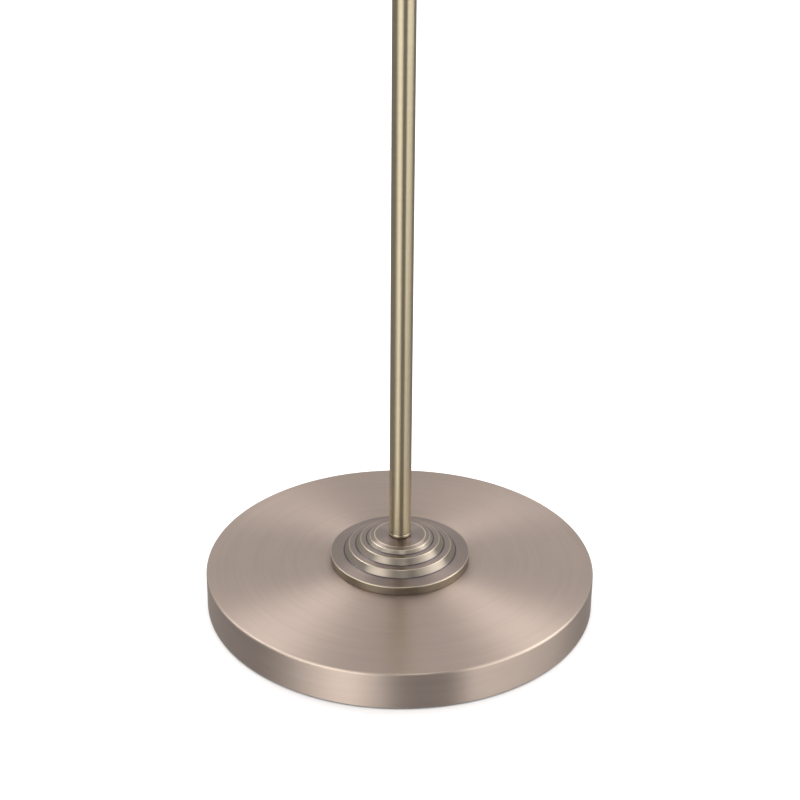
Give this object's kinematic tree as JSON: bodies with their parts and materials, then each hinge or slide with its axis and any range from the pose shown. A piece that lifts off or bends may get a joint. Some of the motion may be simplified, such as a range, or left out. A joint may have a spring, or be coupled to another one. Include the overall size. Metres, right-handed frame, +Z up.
{
  "type": "pharmacy floor lamp",
  "caption": "Adjustable reading floor lamp: weighted round base with a stepped foot trim, telescoping pole, tilting arm and a swivelling half-round cowl shade.",
  "frame": {"origin": "on the floor, at the centre of the base's underside, on the pole's axis", "axes": "+Z up along the pole, +X towards the shade along the arm, +Y towards the cord outlet"},
  "size_m": [0.615, 0.2923, 1.2902],
  "materials": {
    "antique_brass": "brushed, antique",
    "bright_brass": "plain",
    "steel": "zinc plated",
    "cast_iron": "painted black",
    "felt": "felt",
    "black_plastic": "matte",
    "nylon": "natural",
    "frosted_glass": "frosted"
  },
  "bodies": {
    "stand": {"base_cover": "antique_brass", "base_weight": "cast_iron", "cover_spacer": "cast_iron", "base_plate": "black_plastic", "felt_pad": "felt", "foot_trim": "antique_brass", "stem_nipple": "steel", "base_washer": "steel", "base_nut": "steel", "cord_bush": "black_plastic", "lower_pole": "antique_brass", "pole_plug": "steel", "clamp_collar": "antique_brass", "collar_screw": "steel"},
    "shoe": {"clamp_shoe": "nylon"},
    "height_knob": {"height_knob": "antique_brass"},
    "carriage": {"guide_bush": "nylon"},
    "mast": {"upper_pole": "antique_brass", "mast_stop": "bright_brass", "mast_knuckle": "antique_brass", "tilt_friction_washer": "nylon", "tilt_screw": "antique_brass"},
    "tilt_washer": {"tilt_washer": "steel"},
    "tilt_knob": {"tilt_knob": "antique_brass"},
    "arm": {"arm_knuckle": "antique_brass", "arm_tube": "antique_brass", "swivel_socket": "antique_brass", "swivel_screw": "steel"},
    "wrist": {"wrist_knuckle": "antique_brass", "head_friction_washer": "nylon", "head_screw": "antique_brass"},
    "head_washer": {"head_washer": "steel"},
    "head_knob": {"head_knob": "antique_brass"},
    "head": {"head_knuckle": "antique_brass", "socket_cup": "antique_brass", "lamp_holder": "black_plastic", "screw_shell": "bright_brass", "centre_contact": "bright_brass", "shade_ring": "black_plastic", "shade": "antique_brass", "bulb_cap": "steel", "bulb_glass": "frosted_glass", "switch_bush": "antique_brass"},
    "switch_knob": {"switch_knob": "antique_brass"}
  },
  "joints": [
    {"name": "height_slide", "type": "slide", "parent": "stand", "child": "carriage", "axis": [0, 0, 1], "range_m": [-0.4, 0.15]},
    {"name": "mast_turn", "type": "hinge", "parent": "carriage", "child": "mast", "pos_m": [0, 0, 0.53], "axis": [0, 0, 1], "range_deg": [-170, 170]},
    {"name": "arm_tilt", "type": "hinge", "parent": "mast", "child": "arm", "pos_m": [0, 0, 1.2343], "axis": [0, -1, 0], "range_deg": [-50, 80]},
    {"name": "wrist_turn", "type": "hinge", "parent": "arm", "child": "wrist", "pos_m": [0.226, 0, 1.2343], "axis": [1, 0, 0], "range_deg": [-120, 120]},
    {"name": "head_tilt", "type": "hinge", "parent": "wrist", "child": "head", "pos_m": [0.226, 0, 1.2343], "axis": [0, -1, 0], "range_deg": [-85, 85]},
    {"name": "switch_turn", "type": "hinge", "parent": "head", "child": "switch_knob", "pos_m": [0.284, 0, 1.2343], "axis": [0, 0, 1], "continuous": true},
    {"name": "clamp_shoe_slide", "type": "slide", "parent": "stand", "child": "shoe", "axis": [-1, 0, 0], "range_m": [0, 0.0009]},
    {"name": "height_knob_turn", "type": "hinge", "parent": "shoe", "child": "height_knob", "pos_m": [0, 0, 0.7075], "axis": [-1, 0, 0], "range_deg": [0, 360]},
    {"name": "tilt_washer_slide", "type": "slide", "parent": "mast", "child": "tilt_washer", "axis": [0, -1, 0], "range_m": [0, 0.0009]},
    {"name": "tilt_knob_turn", "type": "hinge", "parent": "tilt_washer", "child": "tilt_knob", "pos_m": [0, 0, 1.2343], "axis": [0, -1, 0], "range_deg": [0, 360]},
    {"name": "head_washer_slide", "type": "slide", "parent": "wrist", "child": "head_washer", "axis": [0, -1, 0], "range_m": [0, 0.0009]},
    {"name": "head_knob_turn", "type": "hinge", "parent": "head_washer", "child": "head_knob", "pos_m": [0.226, 0, 1.2343], "axis": [0, -1, 0], "range_deg": [0, 360]}
  ],
  "couplings": [
    {"joint": "clamp_shoe_slide", "follows": "height_knob_turn", "m_per_rad": 0.00012732},
    {"joint": "tilt_washer_slide", "follows": "tilt_knob_turn", "m_per_rad": 0.00012732},
    {"joint": "head_washer_slide", "follows": "head_knob_turn", "m_per_rad": 0.00012732}
  ]
}
